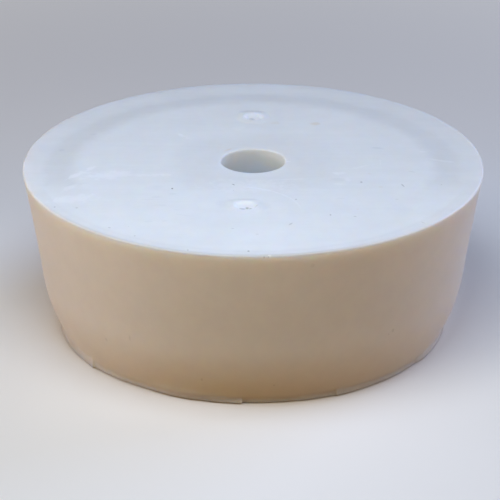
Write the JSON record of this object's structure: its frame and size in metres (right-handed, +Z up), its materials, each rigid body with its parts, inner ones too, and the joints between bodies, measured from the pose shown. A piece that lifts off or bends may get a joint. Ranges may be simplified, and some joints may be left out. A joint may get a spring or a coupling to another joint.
{
  "type": "rubber stopper",
  "caption": "Off-white rubber stopper, a wide tapered plug with a rounded nose and a straight bore through its middle for a tube or airlock.",
  "frame": {"origin": "middle of the foot, on the plane that the stopper stands on", "axes": "+Z up along the bore, from the narrow end to the wide end; +Y runs through the two gate marks, towards the back"},
  "size_m": [0.068, 0.0678, 0.0255],
  "materials": {
    "white_rubber": "matt moulded rubber, slightly translucent, with a chalky bloom on the wide end"
  },
  "bodies": {
    "root": {"stopper": "white_rubber"}
  },
  "joints": []
}
